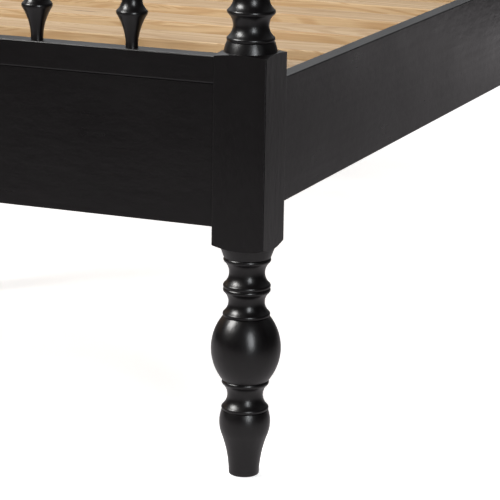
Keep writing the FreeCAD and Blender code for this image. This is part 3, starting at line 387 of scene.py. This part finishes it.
def floor_material():
    """A white floor that keeps the bed's shadow. For glossy rays it glows in pale and dark zones: a painted
    reflection that the paint mirrors.
    """
    look = Material("floor_white")
    path = look.node("ShaderNodeLightPath")
    spot = look.node("ShaderNodeSeparateXYZ", {"Vector": look.place()})
    from_side, from_end = (
        look.math("SUBTRACT", look.math("ABSOLUTE", spot.outputs[axis]), half)
        for axis, half in (("X", FOOT_CORNER.x), ("Y", -FOOT_CORNER.y))
    )
    away = look.math("MAXIMUM", from_side, from_end)

    level = look.math("ADD", *(look.remap(away, *zone) for zone in BY_DISTANCE))
    for zone in ALONG_BED:
        level = look.math("MULTIPLY", level, look.remap(spot.outputs["Y"], *zone))
    level = look.math("MULTIPLY", level, look.remap(from_side, *BESIDE_BED))
    # Painted reflection: for glossy rays only, the floor glows in these pale and dark zones.
    tone = look.blend(level, BLACK, FLOOR_REFLECTION_GLOW)
    painted_reflection_glow = look.node("ShaderNodeEmission", {"Color": tone, "Strength": 1.0}).outputs[0]

    lit = look.node("ShaderNodeBsdfDiffuse", {"Color": FLOOR_LIT}).outputs[0]
    glow = look.remap(away, *CAMERA_GLOW)
    glow = look.node("ShaderNodeEmission", {"Color": WHITE, "Strength": glow}).outputs[0]
    seen = look.node("ShaderNodeAddShader", {0: lit, 1: glow}).outputs[0]

    plain = look.mix(path.outputs["Is Camera Ray"], lit, seen)
    look.surface(look.mix(path.outputs["Is Glossy Ray"], plain, painted_reflection_glow))
    return look.material


def ground():
    """The floor's one square face."""
    corners = [(-1, -1), (1, -1), (1, 1), (-1, 1)]
    mesh = bpy.data.meshes.new("floor")
    mesh.from_pydata([(x * FLOOR_HALF, y * FLOOR_HALF, 0.0) for x, y in corners], [], [(0, 1, 2, 3)])
    item = bpy.data.objects.new("floor", mesh)
    bpy.context.collection.objects.link(item)
    return item


floor = ground()
floor.data.materials.append(floor_material())


# --- world ------------------------------------------------------------------------------------------

# The room that lights and reflections see, by a direction's three parts. Each pair is a span of that part
# and the values at its two ends.
WALL_BY_HEIGHT = ((0.1, 0.6), (0.22, 1.1))
WALL_BEHIND_HEAD = ((0.05, 0.55), (0.03, 1.0))
WALL_ON_THE_LEFT = ((-0.15, 0.35), (1.0, 0.12))
ROOM_LEAST = 0.02


def studio_world():
    """White for the camera. For all else a dim room with a pale wall behind the head end, on the left."""
    world = bpy.data.worlds.new("studio")
    bpy.context.scene.world = world
    world.use_nodes = True
    studio = Nodes(world.node_tree, "ShaderNodeOutputWorld")

    direction = studio.node("ShaderNodeTexCoord").outputs["Generated"]
    parts = studio.node("ShaderNodeSeparateXYZ", {0: direction}).outputs
    height, behind, left = (
        studio.remap(parts[axis], *zone, interpolation_type="SMOOTHSTEP")
        for axis, zone in (("Z", WALL_BY_HEIGHT), ("Y", WALL_BEHIND_HEAD), ("X", WALL_ON_THE_LEFT))
    )
    wall = studio.math("MULTIPLY", behind, left)
    strength = studio.math("MULTIPLY_ADD", height, wall, ROOM_LEAST)

    room = studio.node("ShaderNodeBackground", {"Color": ROOM, "Strength": strength}).outputs[0]
    backdrop = studio.node("ShaderNodeBackground", {"Color": WHITE}).outputs[0]
    camera_ray = studio.node("ShaderNodeLightPath").outputs["Is Camera Ray"]
    studio.surface(studio.mix(camera_ray, room, backdrop))


studio_world()


# --- lamps ------------------------------------------------------------------------------------------

LAMP_TARGET = FOOT_CORNER + Vector((0.0, 0.0, 0.35))

# name, (azimuth from -Y towards +X, elevation) in degrees, distance, (width, height), watts, colour
LAMPS = (
    ("softbox_left", (-58, 40), 3.4, (1.3, 1.3), 132.0, (1.0, 0.99, 0.97)),
    ("window_right", (40, 17), 4.2, (0.9, 2.4), 95.0, (0.94, 0.97, 1.0)),
    ("strip_behind", (-149, 45), 4.6, (1.4, 0.7), 30.0, (1.0, 1.0, 1.0)),
)


def area_light(name, direction, distance, size, watts, colour):
    """A softbox that faces the target from a distance."""
    azimuth, elevation = (math.radians(angle) for angle in direction)
    away = Vector(
        (
            math.sin(azimuth) * math.cos(elevation),
            -math.cos(azimuth) * math.cos(elevation),
            math.sin(elevation),
        )
    )
    light = bpy.data.lights.new(name, "AREA")
    light.shape = "RECTANGLE"
    light.size, light.size_y = size
    light.energy = watts
    light.color = colour
    item = bpy.data.objects.new(name, light)
    bpy.context.collection.objects.link(item)
    item.location = LAMP_TARGET + away * distance
    item.rotation_euler = (-away).to_track_quat("-Z", "Y").to_euler()


for lamp in LAMPS:
    area_light(*lamp)


# --- camera -----------------------------------------------------------------------------------------

CAMERA_FROM_CORNER = Vector((1.0377, -2.5757, 0.9705))
CAMERA_TURN = 22.249  # degrees from +Y towards -X
CAMERA_DIP = 13.861  # degrees below the horizon
CAMERA_ROLL = -0.962  # degrees, positive where the camera's right side dips
CAMERA_LENS = 179.24  # mm, like the sensor
SENSOR_WIDTH = 36.0
CLIP_NEAR = 0.05
CLIP_FAR = 100.0


def photo_camera():
    """The photograph's view of the foot end's right corner."""
    turn, dip, roll = (math.radians(angle) for angle in (CAMERA_TURN, CAMERA_DIP, CAMERA_ROLL))
    ahead = Vector((-math.sin(turn) * math.cos(dip), math.cos(turn) * math.cos(dip), -math.sin(dip)))
    right = Vector((math.cos(turn), math.sin(turn), 0.0))
    down = ahead.cross(right)
    rolled_right = math.cos(roll) * right + math.sin(roll) * down
    rolled_down = -math.sin(roll) * right + math.cos(roll) * down
    camera = bpy.data.cameras.new("photo_camera")
    camera.lens = CAMERA_LENS
    camera.sensor_width = SENSOR_WIDTH
    camera.clip_start = CLIP_NEAR
    camera.clip_end = CLIP_FAR
    item = bpy.data.objects.new("photo_camera", camera)
    bpy.context.collection.objects.link(item)
    item.matrix_world = (
        Matrix.Translation(FOOT_CORNER + CAMERA_FROM_CORNER)
        @ Matrix((rolled_right, -rolled_down, -ahead)).transposed().to_4x4()
    )
    bpy.context.scene.camera = item


photo_camera()
bpy.context.scene.view_settings.view_transform = "Standard"
